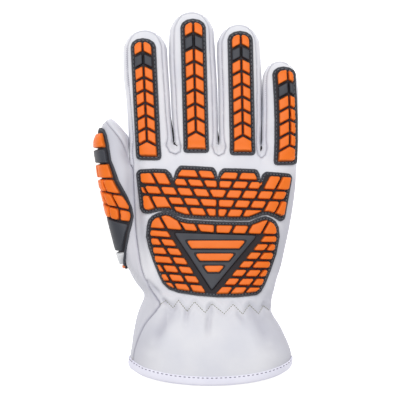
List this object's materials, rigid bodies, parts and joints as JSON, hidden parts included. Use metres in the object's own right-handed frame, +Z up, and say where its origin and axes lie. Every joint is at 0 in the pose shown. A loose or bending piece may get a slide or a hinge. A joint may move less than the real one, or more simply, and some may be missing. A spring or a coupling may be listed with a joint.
{
  "type": "leather impact glove",
  "caption": "Right-hand leather work glove with moulded rubber impact pads on the fingers, thumb, knuckles and back, and a flared bound cuff.",
  "frame": {"origin": "under the middle of the glove, on the surface it lies on, palm down", "axes": "+Y towards the fingertips, +Z up from the palm to the back of the hand, +X towards the little finger"},
  "size_m": [0.1422, 0.2544, 0.0513],
  "materials": {
    "leather": "smooth full-grain goatskin, matt to satin",
    "rubber_orange": "moulded thermoplastic rubber, satin",
    "rubber_grey": "moulded thermoplastic rubber, matt",
    "rubber_pale": "moulded thermoplastic rubber, satin",
    "thread": "twisted polyester sewing thread"
  },
  "bodies": {
    "root": {"palm_panel": "leather", "thumb_front": "leather", "back_panel": "leather", "fourchette_index_middle": "leather", "fourchette_middle_ring": "leather", "fourchette_ring_little": "leather", "thumb_back": "leather", "hem_binding": "leather", "index_pad": "rubber_orange", "middle_pad": "rubber_orange", "ring_pad": "rubber_orange", "little_pad": "rubber_orange", "knuckle_pad": "rubber_orange", "back_pad": "rubber_orange", "thumb_pad": "rubber_orange"}
  },
  "joints": []
}
